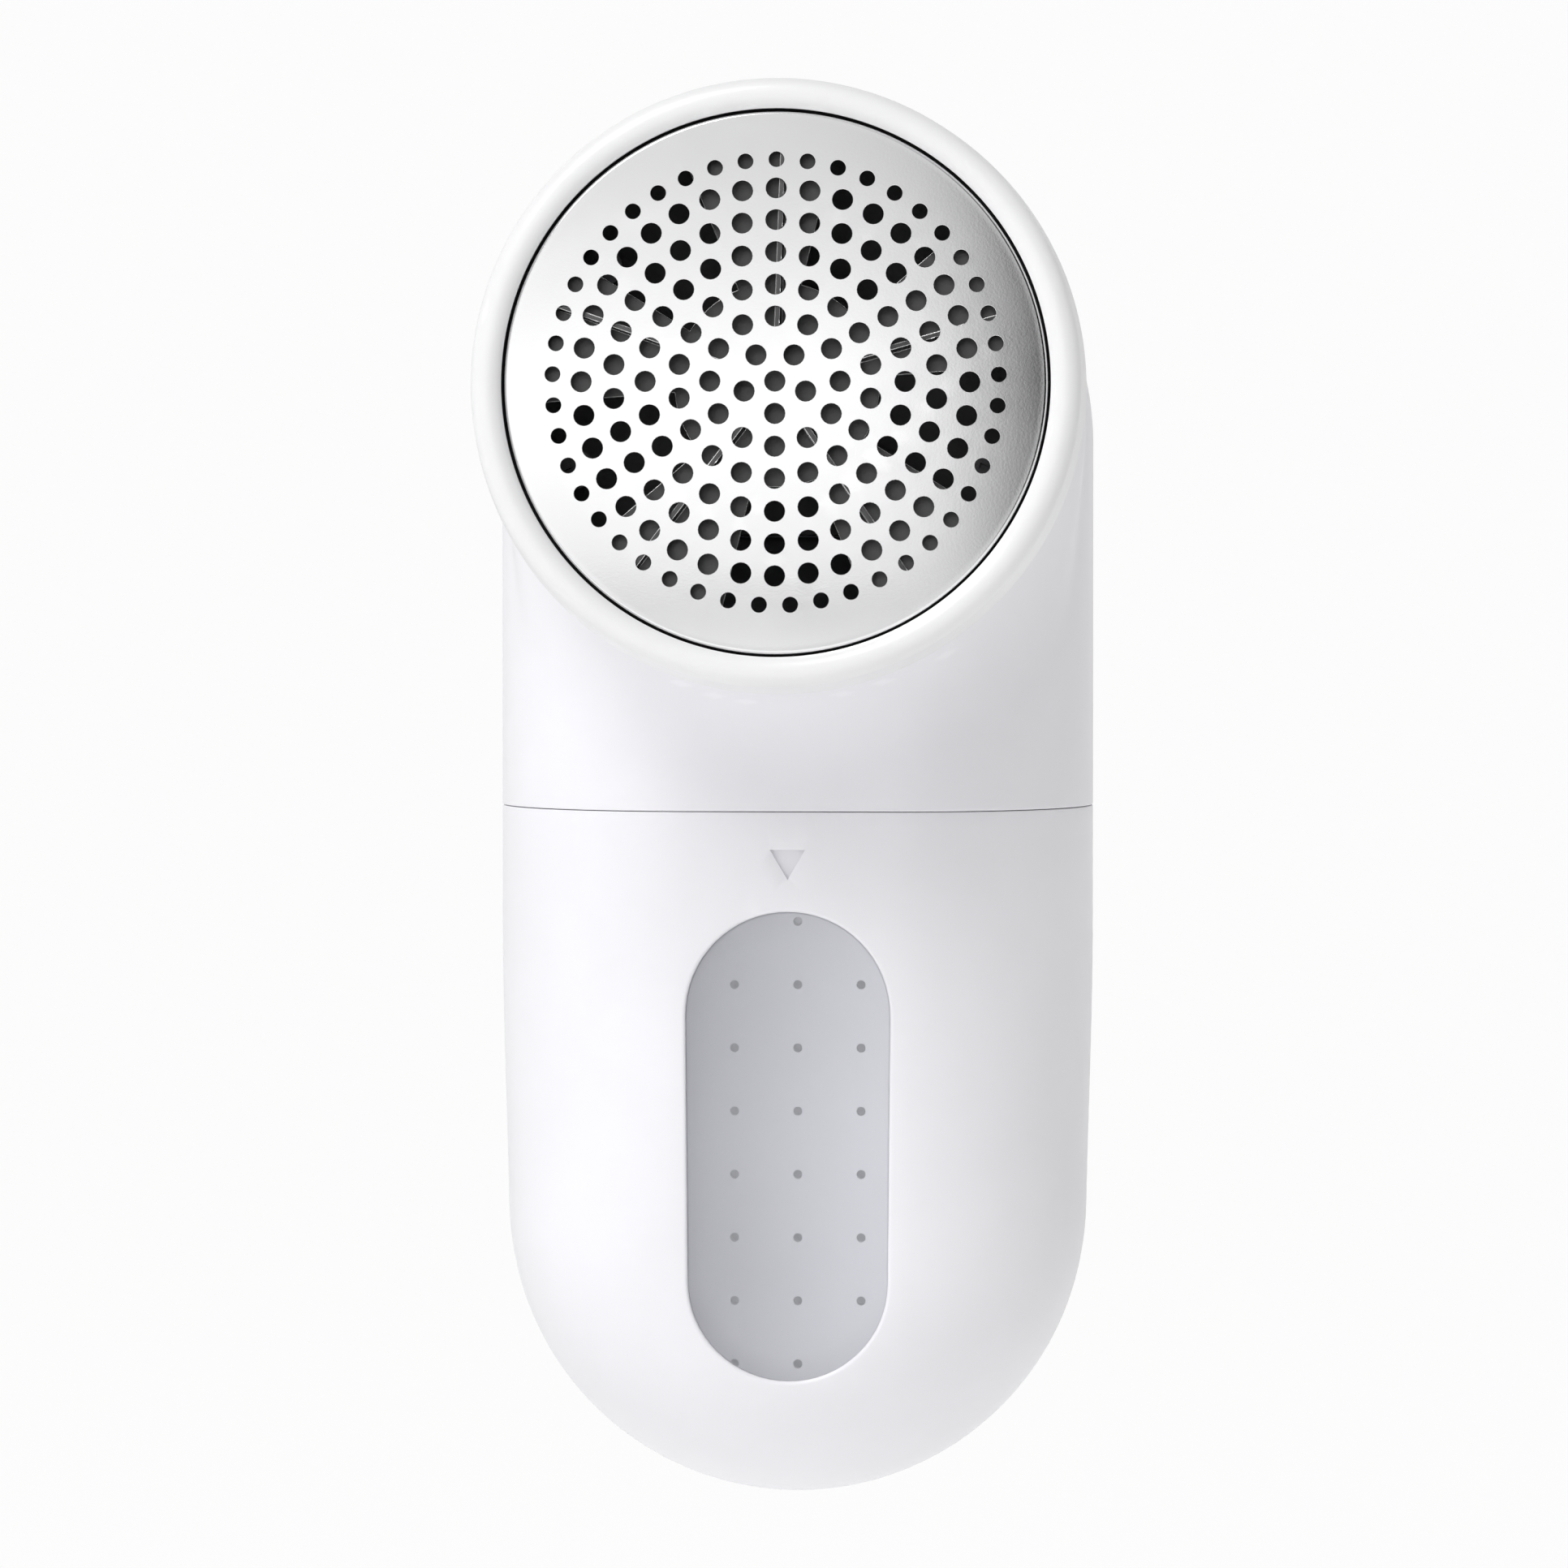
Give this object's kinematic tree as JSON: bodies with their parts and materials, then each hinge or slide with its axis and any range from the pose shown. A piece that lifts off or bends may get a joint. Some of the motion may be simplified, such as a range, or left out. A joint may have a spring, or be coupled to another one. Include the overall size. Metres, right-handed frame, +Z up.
{
  "type": "fabric shaver",
  "caption": "Hand-held fabric shaver: pill-shaped handle, round perforated cutting head tilted slightly up, floating multi-leaf cutter and slide-off lint bin with a clear window",
  "frame": {"origin": "centre of the footprint box, on the plane through the lowest point of the handle", "axes": "+Z up along the handle toward the head; -Y toward the front, where the foil and the window are; +X toward the right-hand side as seen from the front"},
  "size_m": [0.0588, 0.064, 0.1384],
  "materials": {
    "white_shell": "smooth white ABS",
    "foil_steel": "bright stainless, fine radial sheen",
    "grey_plastic": "moulded grey plastic",
    "blade_steel": "ground stainless",
    "dark_plastic": "moulded dark plastic",
    "spring_steel": "drawn wire",
    "natural_nylon": "natural nylon",
    "ground_steel": "ground steel",
    "armature": "steel core and copper winding",
    "ferrite": "ferrite",
    "zinc_steel": "zinc-plated steel",
    "brass_tab": "stamped brass",
    "aluminium_plate": "turned plate",
    "screw_steel": "plated steel",
    "felt": "pressed felt",
    "clear_window": "clear smoke-grey plastic",
    "pale_grey": "moulded pale grey plastic",
    "cell_wrap": "shrink wrap",
    "nickel": "nickel strip",
    "board_green": "solder-masked board",
    "button_white": "smooth white ABS",
    "light_pipe": "frosted clear plastic",
    "wire_sleeve": "insulated wire"
  },
  "bodies": {
    "handle": {"motor_magnets": "ferrite", "motor_can": "zinc_steel", "motor_endcap": "dark_plastic", "motor_terminals": "brass_tab", "motor_bracket": "aluminium_plate", "motor_screws": "screw_steel", "cutter_chamber": "grey_plastic", "chamber_screws": "screw_steel", "shaft_seal": "felt", "lint_duct": "grey_plastic", "interlock_switch": "dark_plastic", "front_shell": "white_shell", "rear_shell": "white_shell", "inner_frame": "grey_plastic", "frame_screws": "screw_steel", "shell_screws": "screw_steel", "bin_latch": "spring_steel", "battery_cell": "cell_wrap", "cell_tabs": "nickel", "main_pcb": "board_green", "pcb_components": "dark_plastic", "tact_switch": "dark_plastic", "led_lens": "light_pipe", "charge_pcb": "board_green", "usb_port": "nickel", "usb_tongue": "dark_plastic", "lead_wires": "wire_sleeve"},
    "head_ring": {"foil_ring": "white_shell", "cutting_foil": "foil_steel", "foil_retainer": "grey_plastic"},
    "rotor": {"motor_shaft": "ground_steel", "motor_armature": "armature", "drive_coupler": "natural_nylon", "blade_spring": "spring_steel"},
    "cutter": {"cutter_blades": "blade_steel", "blade_hub": "dark_plastic"},
    "bin": {"lint_bin": "white_shell", "bin_window": "clear_window", "bin_back": "pale_grey"},
    "button": {"power_button": "button_white"},
    "interlock": {"interlock_pin": "natural_nylon"}
  },
  "joints": [
    {"name": "ring_twist", "type": "hinge", "parent": "handle", "child": "head_ring", "pos_m": [0, 0.01252, 0.1059], "axis": [0, -0.9962, 0.0872], "range_deg": [0, 25]},
    {"name": "rotor_spin", "type": "hinge", "parent": "handle", "child": "rotor", "pos_m": [0, 0.01252, 0.1059], "axis": [0, -0.9962, 0.0872], "continuous": true},
    {"name": "blade_float", "type": "slide", "parent": "rotor", "child": "cutter", "axis": [0, 0.9962, -0.0872], "range_m": [0, 0.0008], "stiffness_N_per_m": 600, "deforming": ["blade_spring"]},
    {"name": "bin_slide", "type": "slide", "parent": "handle", "child": "bin", "axis": [0, 0, -1], "range_m": [0, 0.072], "deforming": ["bin_latch"]},
    {"name": "button_press", "type": "slide", "parent": "handle", "child": "button", "axis": [0, -1, 0], "range_m": [0, 0.0006], "stiffness_N_per_m": 900},
    {"name": "interlock_lift", "type": "slide", "parent": "handle", "child": "interlock", "axis": [0, -0.9962, 0.0872], "range_m": [0, 0.0015]}
  ],
  "couplings": [
    {"joint": "interlock_lift", "follows": "ring_twist", "m_per_rad": 0.003437}
  ]
}
